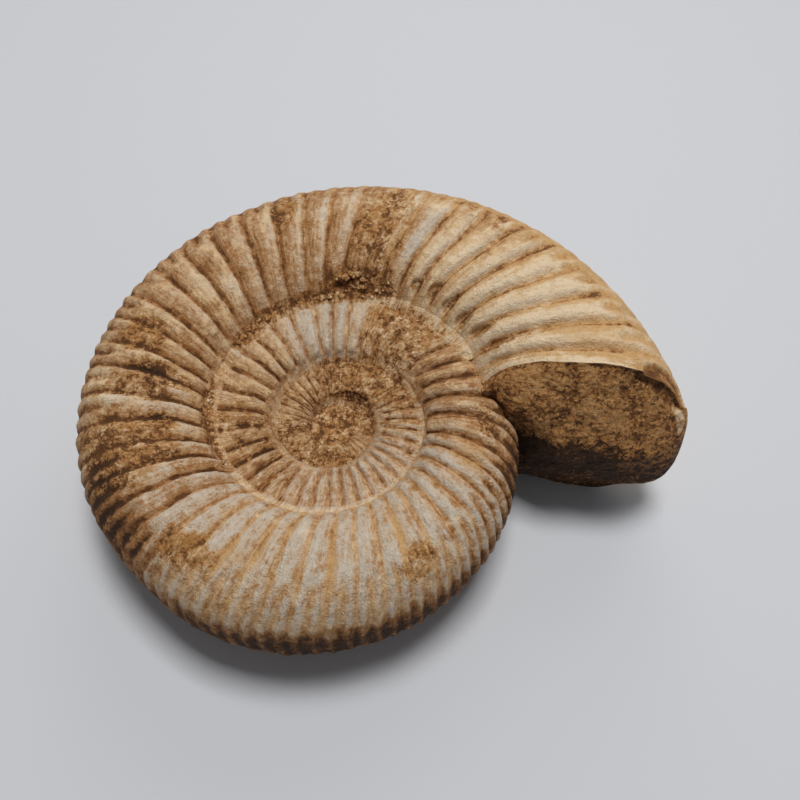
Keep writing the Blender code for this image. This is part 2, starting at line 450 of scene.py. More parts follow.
# More patches in the same form: crust on the seam, the worn outer edge, and pits beside the seam.
SEAM_CRUST = ((84, 0.03, 20, 0.18), (118, 0, 46, 0.09), (188, 0.02, 30, 0.1))
WORN_EDGE = ((228, 0.9, 20, 0.4),)
PITS = (
    (22.5, 0.14, 1.5, 0.09), (30, 0.11, 3, 0.075), (38, 0.1, 2.7, 0.07), (46, 0.11, 2.3, 0.065),
    (54, 0.13, 1.8, 0.06), (61, 0.13, 1.6, 0.05), (92, 0.06, 2, 0.05), (87, 0.09, 1.5, 0.04)
)

# How dark the grooves are, from brown stain and painted shade in them, and how wide a plain band the inner
# turns have at their seam.
GROOVE_STAIN = (
    (12, 0.8), (60, 0.8), (75, 0.6), (100, 0.6), (120, 0.75), (160, 0.8), (215, 0.95), (238, 0.42),
    (300, 0.42), (335, 0.7), (348, 1), (372, 1)
)
INNER_GROOVE_STAIN = (
    (372, 1), (425, 0.9), (440, 0.65), (480, 0.65), (500, 1), (575, 1), (605, 0.6), (690, 0.6), (722, 1),
    (745, 1), (800, 0.6), (850, 1), (920, 0.6), (1085, 0.6), (1400, 0.4)
)
INNER_PLAIN_BAND = (
    (372, 0.28), (402, 0.25), (430, 0.08), (500, 0.08), (530, 0.16), (600, 0.2), (690, 0.2), (722, 0.3),
    (770, 0.2), (840, 0.1), (1400, 0.1)
)
# How dark the ribs are, from 0 for clean pale stone to 1 for dark soil, and then how strong each change
# to that is: painted highlight on the crests, grey wear, the dark outer edge (partly stain, partly painted
# shade), ochre grooves, painted shade on each rib's slope down to the next groove, the band at the seam.
STAIN_ALONG = (
    (0, 0.02), (30, 0.06), (55, 0.18), (70, 0.3), (85, 0.4), (110, 0.38), (150, 0.35), (195, 0.32),
    (215, 0.4), (240, 0.27), (300, 0.27), (335, 0.28), (348, 0.36), (372, 0.38)
)
CREST_PALE = ((0, 0.55), (60, 0.45), (90, 0.35), (240, 0.3), (330, 0.35), (372, 0.35))
GREY_ALONG = (
    (0, 0), (65, 0.2), (85, 0.5), (110, 0.45), (140, 0.35), (180, 0.25), (215, 0.8), (240, 0.85),
    (335, 0.85), (350, 0.45), (372, 0.3)
)
EDGE_STAIN = ((0, 0), (200, 0), (225, 0.42), (300, 0.44), (345, 0.4), (372, 0.44))
OCHRE_GROOVES = (
    (0, 0.7), (60, 0.65), (90, 0.3), (220, 0.2), (240, 0.5), (305, 0.5), (330, 0.4), (372, 0.2)
)
FILL_STAIN = (
    (12, 0.18), (60, 0.2), (90, 0.1), (220, 0.1), (240, 0.03), (305, 0.03), (335, 0.12), (372, 0.14)
)
SEAM_BAND = ((0, 0), (215, 0), (235, 1), (345, 1), (365, 0), (372, 0))
# The same for the inner turns, with how crusted they are and the grooves passed.
INNER_STAIN = (
    (372, 0.38), (402, 0.32), (430, 0.29), (438, 0.23), (470, 0.22), (500, 0.31), (548, 0.39),
    (600, 0.35), (720, 0.35), (750, 0.43), (800, 0.43), (830, 0.36),
    (900, 0.36), (930, 0.42), (1085, 0.46), (1400, 0.46)
)
INNER_GREY = (
    (372, 0.1), (402, 0.2), (436, 0.3), (446, 0.7), (476, 0.7), (492, 0.3), (560, 0.2), (610, 0.6),
    (690, 0.65), (722, 0.4), (900, 0.15), (1400, 0)
)
INNER_CRUST = (
    (372, 0.1), (392, 0.3), (402, 0.85), (428, 0.8), (438, 0.15), (500, 0.15), (545, 0.3), (600, 0.3),
    (615, 0.1), (680, 0.1), (700, 0.3), (735, 0.35), (770, 0.9), (820, 0.9), (845, 0.4), (890, 0.3),
    (920, 0.85), (1010, 0.85), (1035, 0.3), (1085, 0.6), (1120, 1), (1400, 1)
)
INNER_GROOVES = (
    (368, 45), (380, 46), (389.5, 47), (426, 51), (446.5, 53), (464, 55), (476, 56), (516, 60), (540, 62),
    (565, 64), (615, 69), (649, 73), (722, 81), (1085, 120), (1400, 160)
)


def spots(graph, patches, turn, across, gain=1.0):
    """1 in the middle of any of the oval patches, falling to 0 at their rims."""
    best = graph.math("ADD", 0.0, 0.0)
    for middle, level, half_turn, half_across in patches:
        inside = oval(graph, turn, across, middle * DEGREE, level, half_turn * DEGREE, half_across)
        best = graph.math("MAXIMUM", best, inside)
    return graph.clamp(best * gain)


@as_group
def rib_noise(graph, turn, across):
    """Uneven wear and staining, drawn out along the ribs, from about -0.5 to 0.5."""
    place = graph.vector(turn * (45 * MM), across * (15 * MM), 0.0)
    return graph.noise(place, 3.2 * MM, 5, 0.62, 3.0) - 0.5


@as_group
def last_turn_marks(graph, turn, across, drift):
    """Soft patches of stain and wear on the last turn; the dark patch along the outer edge at the front is
    partly stain and partly painted shade.
    """
    where_turn = turn + drift * (8 * DEGREE)
    masks = {name: spots(graph, ovals, where_turn, across) for name, ovals in PATCHES.items()}
    masks["seam_crust"] = spots(graph, SEAM_CRUST, where_turn, across, 1.4)
    return masks


@as_group
def last_turn_point(graph, turn, across):
    """Place on the last turn, and the marks that its material reads."""
    shape = section_shape(graph, turn)
    nearer = mirrored(graph, across)
    angle = shape["seam_angle"] * (1 - across)
    point = section_point(graph, turn, angle)
    outward, height = point["outward"], point["height"]
    lean = rib_lean(graph, turn, nearer)
    reach = graph.ramp(*REACH_SPAN, nearer) * OLDER_EDGE_REACH
    reach_share = graph.ramp(REACH_START, LAST_TURN_END, turn)
    level = height / (shape["width"] * coil_radius(graph, turn))
    swept = lerp(lean, reach, reach_share) + undercut(graph, turn, level, nearer)
    swell = (flare(graph, turn - swept) - 1) * graph.ramp(0.0, 0.12, nearer) + 1
    size = coil_radius(graph, turn - swept) / coil_radius(graph, turn) * swell
    plain = around_axis(graph, outward * size, turn - swept, height * size)
    direction = around_axis(graph, graph.math("COSINE", angle), turn - swept, graph.math("SINE", angle))

    drift, rough, fine = unevenness(graph, plain, 14 * MM, 5 * MM, 1.6 * MM)
    rib_turn = turn + (lean - reach) * reach_share
    count = graph.curve(rib_turn, GROOVES) + drift * 0.35 + fine * 0.16
    fork = graph.ramp(*FORK_SPAN, nearer)
    sharpness = graph.curve(turn, RIB_SHARPNESS)
    main_groove = groove_depth(graph, count, sharpness, fork * 0.3 + 0.4)
    fork_groove = groove_depth(graph, count + 0.5, sharpness * 0.8, 0.7) * fork
    groove = graph.math("MAXIMUM", main_groove, fork_groove)
    step = graph.math("FRACT", count)
    # Painted shade on each rib's long slope down to the next groove, and a painted highlight on its steep
    # face just past the groove.
    filled = graph.ramp(0.35, 0.95, step) * (1 - fork * 0.6)
    crest = graph.ramp(0.05, 0.14, step) * graph.ramp(0.42, 0.15, step) * (1 - fork * 0.6)
    flank = graph.curve(turn, FLANK_RIB_DEPTH) * graph.ramp(0.02, 0.16, nearer)
    depth = lerp(flank, graph.curve(turn, EDGE_RIB_DEPTH), graph.ramp(0.48, 0.68, nearer))
    depth = depth * (rough * 0.9 + 1)

    marks = last_turn_marks(graph, rib_turn, across, drift)
    soft_crust = graph.math("MAXIMUM", marks["rust"], marks["seam_crust"])
    streak = rib_noise(graph, rib_turn, across)
    fray = streak * 2.2 + rough * 0.7 + fine * 1.2
    crust = frayed(graph, graph.math("MAXIMUM", soft_crust, marks["dark"] * 0.6), fray)
    pits = spots(graph, PITS, rib_turn + rough * (6 * DEGREE), across + rough * 0.09 + fine * 0.05, 1.4)
    lumps = crust_relief(graph, plain)
    relief = (0.55 - groove) * depth * (1 - crust * 0.35)
    relief = relief + rough * 0.6 + drift * 0.5 + fine * 0.3 + streak * 0.5
    relief = relief + lumps * (crust * 0.5 + 0.06) - pits * 0.8
    chipped = oval(graph, turn + fine * DEGREE, across, BROKEN_END, 0.7, 3.4 * DEGREE, 0.15)
    chipped = graph.clamp(chipped * 5.0)
    relief = relief - spots(graph, WORN_EDGE, turn, nearer) * 0.8 - chipped * 0.8
    relief = relief * graph.ramp(0.0, 0.03, nearer) * MM
    low = graph.clamp(0.5 - fine * 1.2 - lumps * crust * 0.5 - rough * 0.4)
    stain = graph.curve(turn, STAIN_ALONG) + marks["seam_crust"] * 0.2
    # The outer edge and the underside darken: partly stain, partly painted shade where they turn away from
    # the light.
    stain = stain + graph.ramp(0.8, 1.0, across) * graph.curve(turn, EDGE_STAIN) * (groove * 0.6 + 0.3)
    stain = stain + filled * graph.curve(turn, FILL_STAIN) - crest * 0.04 + chipped * 0.62
    seam_band = graph.ramp(0.15, 0.0, across + rough * 0.05) * graph.curve(turn, SEAM_BAND)
    stain = stain - seam_band * 0.1
    # The grooves darken partly from brown stain and partly from painted shade.
    groove_stain = groove * graph.curve(turn, GROOVE_STAIN) * graph.ramp(0.1, 0.5, depth)
    ochre = marks["ochre"] * 0.65 + seam_band * 0.25
    ochre = ochre + graph.math("MAXIMUM", groove, filled) * graph.curve(turn, OCHRE_GROOVES)
    paled = crest * graph.curve(turn, CREST_PALE)
    grey = (marks["grey"] * 0.45 + graph.curve(turn, GREY_ALONG)) * (1 - seam_band) * (1 - groove * 0.7)
    return {
        "place": move(graph, plain, direction, relief),
        "coil": graph.vector(rib_turn, across, groove_stain),
        "stain": graph.vector(soft_crust * 0.6 + crust * 0.4, marks["dark"], ochre),
        "wear": graph.vector(marks["pale"] + paled, grey + paled * 0.5, pits),
        "tone": graph.vector(stain, low, 0.0),
    }


@as_group
def inner_turn_point(graph, turn, across):
    """Place on an inner turn, where across runs from its own seam, 0, to the next turn's, 1."""
    shape = section_shape(graph, turn)
    fold = (FOLD_SHARE - shape["centre"]) / shape["half"]
    fold_angle = graph.math("ARCCOSINE", graph.math("MINIMUM", fold, 1.0) ** (SECTION_POWER / 2))
    before = last_turn_point(graph, turn, across * (1 - fold_angle / shape["seam_angle"]))
    first = section_point(graph, turn, lerp(shape["seam_angle"], fold_angle, across))
    inside = seam_radius(graph, turn)
    outside = seam_radius(graph, turn - TURN)
    low = coil_radius(graph, turn) * SEAM_HEIGHT_SHARE
    high = coil_radius(graph, turn - TURN) * SEAM_HEIGHT_SHARE
    rest = graph.math("MAXIMUM", 1 - across, 0.0)
    swell = (1 - rest ** 2.2) ** (1 / 2.2) - graph.math("MINIMUM", across, 1.0)
    share = graph.ramp(LAST_TURN_END, 425 * DEGREE, turn)
    outward = lerp(first["outward"], lerp(inside, outside, across), share)
    height = lerp(first["height"], lerp(low, high, across) + (outside - inside) * swell * 0.5, share)
    plain = around_axis(graph, outward, turn, height)
    direction = around_axis(graph, rest * -0.8 + 0.1, turn, 0.8)

    drift, rough, fine = unevenness(graph, plain, 9 * MM, 4 * MM, 1.4 * MM)
    lean = graph.ramp(0, 1.0, across) * (1 - graph.ramp(400 * DEGREE, 440 * DEGREE, turn))
    rib_turn = turn + lean * (4.5 * DEGREE)
    count = graph.curve(rib_turn, INNER_GROOVES) + drift * 0.3 + fine * 0.12
    groove = groove_depth(graph, count, 7.0, 0.4)
    step = graph.math("FRACT", count)
    # A painted highlight on each rib's steep face just past its groove.
    crest = graph.ramp(0.05, 0.14, step) * graph.ramp(0.45, 0.15, step)
    scale = coil_radius(graph, turn) / (30 * MM)
    plain_band = graph.curve(turn, INNER_PLAIN_BAND)
    within = graph.ramp(plain_band * 0.4, plain_band, across + rough * 0.1)
    within = within * graph.ramp(1.0, 0.88, across + rough * 0.1)
    depth = (scale * 1.25 + 0.3) * (within * 0.9 + 0.1) * (rough * 0.9 + 1)
    fray = rib_noise(graph, turn * 0.6, across) * 2.0 + rough * 0.6 + fine * 1.2
    crust = frayed(graph, graph.curve(turn, INNER_CRUST), fray)
    seam_crust = graph.ramp(0.80, 1.0, across) * spots(graph, ((450, 1, 78, 1.4),), turn, across, 1.5)
    crust = graph.math("MAXIMUM", crust, frayed(graph, seam_crust, fray))
    lumps = crust_relief(graph, plain)
    relief = (0.5 - groove) * depth * (1 - crust * 0.75) + rough * 0.5 + fine * 0.25
    hollow = spots(graph, ((785, 0.04, 42, 0.12),), turn, across, 2.0)
    relief = relief + lumps * (crust * 0.55 + 0.06)
    relief = relief * graph.ramp(0.0, 0.06, across) * MM - hollow * (0.5 * MM)
    dark = spots(graph, ((563, 0.58, 5, 0.16), (380, 0.5, 22, 1.2), (575, 0.5, 36, 1.2)), turn, across)
    # The hollow beside the crust in the middle is also painted dark: painted shadow.
    dark = dark * 0.4 + hollow
    low = graph.clamp(0.5 - fine * 1.2 - lumps * crust * 0.8 - rough * 0.4)
    stain = graph.curve(turn, INNER_STAIN) - crest * 0.08 + graph.ramp(0.14, 0.0, across) * 0.08
    # The grooves darken partly from brown stain and partly from painted shade.
    groove_stain = groove * within * (1 - crust * 0.7) * graph.curve(turn, INNER_GROOVE_STAIN)
    here = {
        "place": move(graph, plain, direction, relief),
        "coil": graph.vector(rib_turn, across * 0.5, groove_stain),
        "stain": graph.vector(crust, dark, groove * 0.1),
        "wear": graph.vector(0.0, graph.curve(turn, INNER_GREY) * (1 - groove * 0.6) + crest * 0.3, 0.0),
        "tone": graph.vector(stain, low, 0.0),
    }
    share = graph.ramp(LAST_TURN_END, LAST_TURN_END + 12 * DEGREE, turn)
    return {name: graph.mix(before[name], here[name], share) for name in here}


def fill_between(graph, turn, across, outside):
    """Place on the sediment in the seam, from the turn inside it, 0, to the turn outside it, 1."""
    along = graph.vector(turn * (30 * MM), 0.0, 0.0)
    inner_reach = 0.91 - (graph.noise(along, 4 * MM, 5, 0.7, 9.0) - 0.5) * 0.26
    outer_reach = (graph.noise(along, 5 * MM, 4, 0.6, 10.0) - 0.5) * 0.05 + 0.035
    inner = inner_turn_point(graph, turn + TURN, inner_reach)
    outer = outside(graph, turn, outer_reach)
    mixed = {name: graph.mix(inner[name], outer[name], across) for name in inner}
    rough = graph.noise(mixed["place"], 2.5 * MM, 4, 0.65, 1.0) - 0.5
    crust, dark, ochre = graph.split(mixed["stain"])
    inside = across * (1 - across) * 4
    lift = inside * (rough * 0.7 - 0.05) + crust * inside * crust_relief(graph, mixed["place"]) * 0.3
    lift = lift - graph.ramp(0.2, 0.0, inside) * 0.06 - graph.ramp(32 * DEGREE, SEAM_FILL_START, turn) * 0.4
    stain, low, _ = graph.split(mixed["tone"])
    mixed["place"] = move(graph, mixed["place"], (0.0, 0.0, 1.0), lift * MM)
    rib_turn, reach, groove = graph.split(outer["coil"])
    mixed["coil"] = graph.vector(rib_turn, reach * across, groove * across * 0.5)
    clean = graph.curve(turn, SEAM_BAND) * inside * (rough * 3.0 + 0.6)
    pale, grey, _ = graph.split(mixed["wear"])
    mixed["stain"] = graph.vector(crust, dark * 0.5, ochre * 0.7)
    mixed["wear"] = graph.vector(pale + clean * 0.1, grey + clean * 0.2, 0.0)
    mixed["tone"] = graph.vector(stain - rough * 0.2 - inside * 0.05, low, 0.0)
    return mixed


@as_group
def outer_fill_point(graph, turn, across):
    return fill_between(graph, turn, across, last_turn_point)


@as_group
def inner_fill_point(graph, turn, across):
    return fill_between(graph, turn, across, inner_turn_point)


@as_group
def break_point(graph, step, around):
    """Place on the break, from the last turn's rim (step 0) in to the older turn (step 1)."""
    rim_place = last_turn_point(graph, BROKEN_END, around * 2)["place"]
    older_place = last_turn_point(graph, LAST_TURN_END, lerp(OLDER_FOLD, 2 - OLDER_FOLD, around))["place"]
    flat = graph.mix(rim_place, older_place, step)
    _, _, height = graph.split(flat)
    half_width = HALF_WIDTH_SHARE * bpy.context.scene.fossil_sizes.coil_radius
    bend = (step * 2 - 1) * (step * 2 - 1)
    ridge = graph.math("MAXIMUM", 1 - graph.math("ABSOLUTE", height) / half_width, 0.0) * (1 - bend * bend)
    lift = graph.vector(BREAK_RIDGE * math.sin(OPEN_END_DIRECTION),
                        -BREAK_RIDGE * math.cos(OPEN_END_DIRECTION), RIDGE_LIFT)
    plain = move(graph, flat, lift, ridge)
    inset = graph.ramp(0.0, 0.05, step) * graph.ramp(1.0, 0.95, step)
    inset = inset * graph.ramp(0.0, 0.04, around) * graph.ramp(1.0, 0.96, around)
    broad = graph.noise(plain, 9 * MM, 2, 0.5, 5.0) - 0.5
    rough = graph.noise(plain, 3 * MM, 5, 0.65, 6.0) - 0.5
    grains = 0.4 - graph.cells(plain, 1.0 * MM, seed=2.0)
    ledge = graph.clamp(oval(graph, step * 10, around, 0.3, 0.345, 0.75, 0.085) * 4.0)
    relief = (broad * 2.2 + rough * 1.8 + grains * 0.4) * inset * (1 - ledge * 0.8) - ledge * inset * 0.9
    forward = graph.vector(math.sin(OPEN_END_DIRECTION), -math.cos(OPEN_END_DIRECTION), 0.25)
    return {
        "place": move(graph, plain, forward, relief * MM),
        "coil": graph.vector(step, around, ledge),
        "wear": graph.vector(broad, rough, 0.0),
    }


@as_group
def disc_point(graph, outward, around):
    """Place on the crust that fills the middle."""
    turn = around * TURN
    flat = around_axis(graph, outward, turn, 0.0)
    broad = graph.noise(flat, 3.5 * MM, 2, 0.5, 7.0) - 0.5
    lumps = crust_relief(graph, flat)
    rim = graph.ramp(MIDDLE_RADIUS - 2.4 * MM, MIDDLE_RADIUS, outward)
    height = MIDDLE_HEIGHT - rim * (2.0 * MM) + broad * (1.2 * MM) + lumps * (0.5 * MM)
    return {
        "place": around_axis(graph, outward, turn, height),
        "coil": graph.vector(0.0, 0.0, 0.0),
        "stain": graph.vector(1.0, 0.1, 0.2),
        "wear": graph.vector(0.0, 0.0, 0.0),
        "tone": graph.vector(0.52, graph.clamp(0.5 - lumps * 0.9), 0.0),
    }


SURFACES = {
    "last_turn": last_turn_point,
    "inner_turns": inner_turn_point,
    "outer_fill": outer_fill_point,
    "inner_fill": inner_fill_point,
    "break": break_point,
    "disc": disc_point,
}


def start_tree(name, inputs):
    """A new Geometry Nodes tree with these named inputs and a material, and what its input node gives."""
    tree = bpy.data.node_groups.new(name, "GeometryNodeTree")
    for label, start in inputs.items():
        kind = "NodeSocketInt" if isinstance(start, int) else "NodeSocketFloat"
        tree.interface.new_socket(label, in_out="INPUT", socket_type=kind).default_value = start
    tree.interface.new_socket("Stone", in_out="INPUT", socket_type="NodeSocketMaterial")
    tree.interface.new_socket("Geometry", in_out="OUTPUT", socket_type="NodeSocketGeometry")
    graph = Graph(tree)
    return tree, graph, graph.node("NodeGroupInput").outputs


def store(graph, shape, marks):
    for name, value in marks.items():
        inputs = {"Geometry": shape, "Name": name, "Value": value}
        shape = graph.made("GeometryNodeStoreNamedAttribute", inputs, data_type="FLOAT_VECTOR")
    return shape


def finish_tree(graph, shape, stone):
    """Lay the shape down as the fossil rests, and give it its material."""
    rest = {"Translation": REST_PLACE, "Rotation": REST_TILT.to_euler()}
    shape = graph.made("GeometryNodeTransform", {"Geometry": shape, **rest})
    shape = graph.made("GeometryNodeSetShadeSmooth", {"Geometry": shape})
    shape = graph.made("GeometryNodeRealizeInstances", {"Geometry": shape})
    shape = graph.made("GeometryNodeSetMaterial", {"Geometry": shape, "Material": stone})
    graph.node("NodeGroupOutput", {"Geometry": shape})


def stretch(first, second):
    """Inputs that say which stretch of a surface is made, along it and across it."""
    ends = {"First Start": first[0], "First End": first[1]}
    return {**ends, "Second Start": second[0], "Second End": second[1]}


def surface_tree(kind, upside=1, outward_flip=True):
    """Geometry Nodes that bend a flat grid into one surface of the fossil."""
    inputs = {**stretch((0.0, 1.0), (0.0, 1.0)), "Columns": 100, "Rows": 50}
    tree, graph, given = start_tree(f"Fossil {kind}", inputs)
    counts = {"Vertices X": given["Columns"], "Vertices Y": given["Rows"]}
    grid = graph.node("GeometryNodeMeshGrid", {"Size X": 1.0, "Size Y": 1.0, **counts})
    place = graph.made("GeometryNodeInputPosition")
    x, y, _ = graph.split(place)
    first = lerp(Term(graph, given["First Start"]), Term(graph, given["First End"]), x + 0.5)
    second = lerp(Term(graph, given["Second Start"]), Term(graph, given["Second End"]), y + 0.5)
    marks = SURFACES[kind](graph, first, second)
    target = marks.pop("place")
    shape = store(graph, grid.outputs["Mesh"], marks)
    if upside < 0:
        target = graph.made("ShaderNodeVectorMath", {0: target, 1: (1, 1, -1)}, operation="MULTIPLY")
    shape = graph.made("GeometryNodeSetPosition", {"Geometry": shape, "Position": target})
    if outward_flip:
        shape = graph.made("GeometryNodeFlipFaces", {"Mesh": shape})
    finish_tree(graph, shape, given["Stone"])
    return tree


def lump_tree():
    """Geometry Nodes that scatter lumps of crust over the inner edge of the last turn."""
    tree, graph, given = start_tree("Fossil lumps", {
        "Count": 10, "Turn Start": 0.0, "Turn End": 1.0, "Across Start": 0.0, "Across End": 0.1,
        "Smallest": 0.5 * MM, "Largest": 0.8 * MM, "Stain": 0.4, "Subdivisions": 4, "Seed": 0,
    })
    seed = Term(graph, given["Seed"])

    def chance(low, high, offset):
        made = graph.node("FunctionNodeRandomValue", {2: low, 3: high, 8: seed + offset}, data_type="FLOAT")
        return Term(graph, made.outputs[1])

    turn = chance(given["Turn Start"], given["Turn End"], 1)
    across = chance(given["Across Start"], given["Across End"], 2)
    where = last_turn_point(graph, turn, across)["place"]
    points = graph.made("GeometryNodePoints", {"Count": given["Count"], "Position": where})
    roundness = {"Radius": 1.0, "Subdivisions": given["Subdivisions"]}
    ball = graph.made("GeometryNodeMeshIcoSphere", roundness)
    size = chance(given["Smallest"], given["Largest"], 3)
    balls = graph.made("GeometryNodeInstanceOnPoints", {
        "Points": points, "Instance": ball,
        "Scale": graph.vector(size, size * chance(0.6, 1.0, 4), size * 0.7),
        "Rotation": graph.vector(0.0, 0.0, chance(0.0, TURN, 5)),
    })
    shape = graph.made("GeometryNodeRealizeInstances", {"Geometry": balls})
    place = graph.made("GeometryNodeInputPosition")
    normal = graph.made("GeometryNodeInputNormal")
    bumps = graph.noise(place, 0.9 * MM, 3, 0.6, 8.0) - 0.5
    x, y, _ = graph.split(place)
    _, _, up = graph.split(normal)
    # The lumps are painted darker where they face down, painted shade, and in their dips.
    shape = store(graph, shape, {
        "coil": graph.vector(x * 20, y * 60, 0.0),
        "stain": graph.vector(1.0, graph.ramp(0.5, -0.2, up) * 0.9, 0.1),
        "wear": graph.vector(0.0, 0.0, 0.0),
        "tone": graph.vector(Term(graph, given["Stain"]), graph.clamp(0.75 - up * 0.5 - bumps), 0.0),
    })
    target = move(graph, place, normal, bumps * (1.2 * MM))
    shape = graph.made("GeometryNodeSetPosition", {"Geometry": shape, "Position": target})
    finish_tree(graph, shape, given["Stone"])
    return tree


def grow(name, tree, **inputs):
    """A piece whose mesh is what the node tree makes of these inputs."""
    piece = bpy.data.objects.new(name, bpy.data.meshes.new(name))
    bpy.context.scene.collection.objects.link(piece)
    modifier = piece.modifiers.new("Surface", "NODES")
    modifier.node_group = tree
    for item in tree.interface.items_tree:
        if item.in_out == "INPUT" and item.name in inputs:
            modifier[item.identifier] = inputs[item.name]
    graph = bpy.context.evaluated_depsgraph_get()
    shown = piece.evaluated_get(graph)
    made = bpy.data.meshes.new_from_object(shown, preserve_all_data_layers=True, depsgraph=graph)
    piece.modifiers.remove(modifier)
    piece.data = made
    made.name = name
    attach(piece, "root")
    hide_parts("ammonite")
    return piece


def blend_colour(graph, first, second, share):
    made = graph.node("ShaderNodeMix", {0: share}, data_type="RGBA")
    for socket, colour in ((made.inputs[6], first), (made.inputs[7], second)):
        graph.feed(socket, colour if isinstance(colour, bpy.types.NodeSocket) else tuple(colour))
    return made.outputs[2]


@as_group
def stone_grain(graph, place):
    """Grain shared by every stone: unevenness at four sizes, each from about -0.5 to 0.5."""
    fine = graph.noise(place, 0.42 * MM, 3, 0.75, 2.0) - 0.5
    middling = graph.noise(place, 1.1 * MM, 3, 0.65, 3.0) - 0.5
    flakes = graph.ramp(0.49, 0.53, graph.noise(place, 1.8 * MM, 5, 0.6, 5.0)) - 0.5
    patchy = graph.noise(place, 3.0 * MM, 3, 0.6, 4.0) - 0.5
    warp = graph.node("ShaderNodeTexNoise", {"Vector": place, "Scale": 1 / (0.9 * MM), "Detail": 2.0})
    warped = move(graph, place, warp.outputs["Color"], 0.8 * MM)
    grains = graph.node("ShaderNodeTexVoronoi", {"Vector": warped, "Scale": 1 / (0.55 * MM)})
    red, _, _ = graph.split(grains.outputs["Color"])
    return {"fine": fine, "middling": middling, "patchy": patchy, "grains": red - 0.5, "flakes": flakes}


@as_group
def rib_streaks(graph, turn, across):
    """Streaks that run along the ribs, from about -0.5 to 0.5."""
    thin = graph.noise(graph.vector(turn * 50, across * 9, 0.0), 1.0, 5, 0.65, 1.0)
    wide = graph.noise(graph.vector(turn * 18, across * 5, 5.0), 1.0, 4, 0.6, 2.0)
    return {"soft": thin * 0.6 + wide * 0.5 - 0.55, "crisp": graph.ramp(0.50, 0.56, thin) - 0.5}


@as_group
def stone_colour(graph, stain):
    """Colour of the stone, from clean pale shell, 0, through tan and rust to dark soil, 1."""
    colours = bpy.context.scene.fossil_colours
    ramp = graph.node("ShaderNodeValToRGB", {"Fac": stain})
    stops = ramp.color_ramp.elements
    stops.remove(stops[1])
    stops[0].color = tuple(colours.pale)
    browns = (colours.cream, colours.tan, colours.rust, colours.soil, colours.dark)
    for place, colour in zip((0.20, 0.42, 0.60, 0.78, 0.98), browns):
        stops.new(place).color = tuple(colour)
    return ramp.outputs["Color"]


def read_marks(graph, name):
    made = graph.node("ShaderNodeAttribute", attribute_name=name)
    return graph.split(made.outputs["Vector"])


def start_material(name, roughness):
    material = bpy.data.materials.new(name)
    material.use_nodes = True
    shader = material.node_tree.nodes["Principled BSDF"]
    shader.inputs["Roughness"].default_value = roughness
    shader.inputs["Specular IOR Level"].default_value = 0.25
    return material, Graph(material.node_tree), shader


def dress(graph, shader, colour, height, depth):
    """Give the shader its colour, and a fine grain as deep as given."""
    graph.feed(shader.inputs["Base Color"], colour)
    grain = graph.made("ShaderNodeBump", {"Height": height, "Distance": depth, "Strength": 1.0})
    graph.feed(shader.inputs["Normal"], grain)


def ribbed_material():
    """Fossil shell: pale ribs with a painted highlight on their crests, grooves brown from stain and
    painted shade, and rust, chalk and soil where they lie.
    """
    colours = bpy.context.scene.fossil_colours
    material, graph, shader = start_material("Ribbed stone", 0.85)
    place = graph.node("ShaderNodeTexCoord").outputs["Object"]
    fine, middling, patchy, grains, flakes = stone_grain(graph, place).values()
    # Besides stone colour, these marks carry painted light: groove holds painted shade in the grooves, pale
    # holds the painted highlight on the crests, dark holds painted shadow in the hollow by the middle and
    # under the crust lumps, and along holds painted shade on the rib slopes and the outer edge. The stain
    # summed below mixes real stain with that painted shade.
    turn, across, groove = read_marks(graph, "coil")
    crust, dark, ochre = read_marks(graph, "stain")
    pale, grey, pits = read_marks(graph, "wear")
    along, low, _ = read_marks(graph, "tone")
    soft, crisp = rib_streaks(graph, turn, across).values()
    rusty = graph.ramp(0.15, 0.75, crust + pits + soft * 1.2 + patchy)
    uneven = fine * 0.75 + middling * 0.6 + patchy * 0.7
    rough = grains * 0.35 + (low - 0.5) * 0.4
    stain = along + soft * 0.55 + uneven * (rusty * 0.7 + 0.75)
    stain = stain + rough * (rusty * 1.25 + 0.12) + rusty * 0.12
    flecks = 1 - graph.clamp(grey) * 0.6
    stain = stain + (crisp * 0.10 + flakes * (rusty * 0.14 + 0.12)) * flecks - pale * 0.2
    # The line darkens the middle of each groove: brown stain and painted shade.
    line = graph.ramp(0.45, 0.95, groove + soft * 0.8)
    stain = stain + groove * 0.22 + line * (soft * 0.8 + flakes * 0.15 + 0.28)
    stain = stain + graph.ramp(0.0, 0.9, dark + soft + patchy * 0.8) * (groove * 0.3 + 0.2)
    stain = graph.math("MINIMUM", stain, graph.math("MAXIMUM", dark, 0.0) * 0.14 + 0.84)
    base = stone_colour(graph, graph.clamp(stain))
    coolness = graph.noise(place, 4 * MM, 4, 0.6, 8.0) - 0.5
    greyed = graph.ramp(0.1, 0.9, grey + soft * 0.8 + patchy * 0.6 + coolness) * (1 - rusty)
    base = blend_colour(graph, base, colours.grey, greyed * graph.ramp(0.5, 0.2, stain) * 0.7)
    warmth = graph.noise(place, 6 * MM, 3, 0.6, 6.0) - 0.5
    yellowed = graph.ramp(0.15, 1.0, ochre + soft * 1.3 + warmth * 1.4 + patchy * 0.9)
    base = blend_colour(graph, base, colours.ochre, yellowed * graph.ramp(0.6, 0.3, stain) * 0.7)
    reddened = rusty * graph.ramp(-0.15, 0.2, warmth + soft) * graph.ramp(0.75, 0.45, stain)
    base = blend_colour(graph, base, colours.orange, reddened * 0.8)
    height = fine * 0.5 + middling * 0.6 + soft * 0.4 + grains * rusty * 0.2
    dress(graph, shader, base, height - (flakes + crisp) * 0.06, 1.1 * MM)
    return material


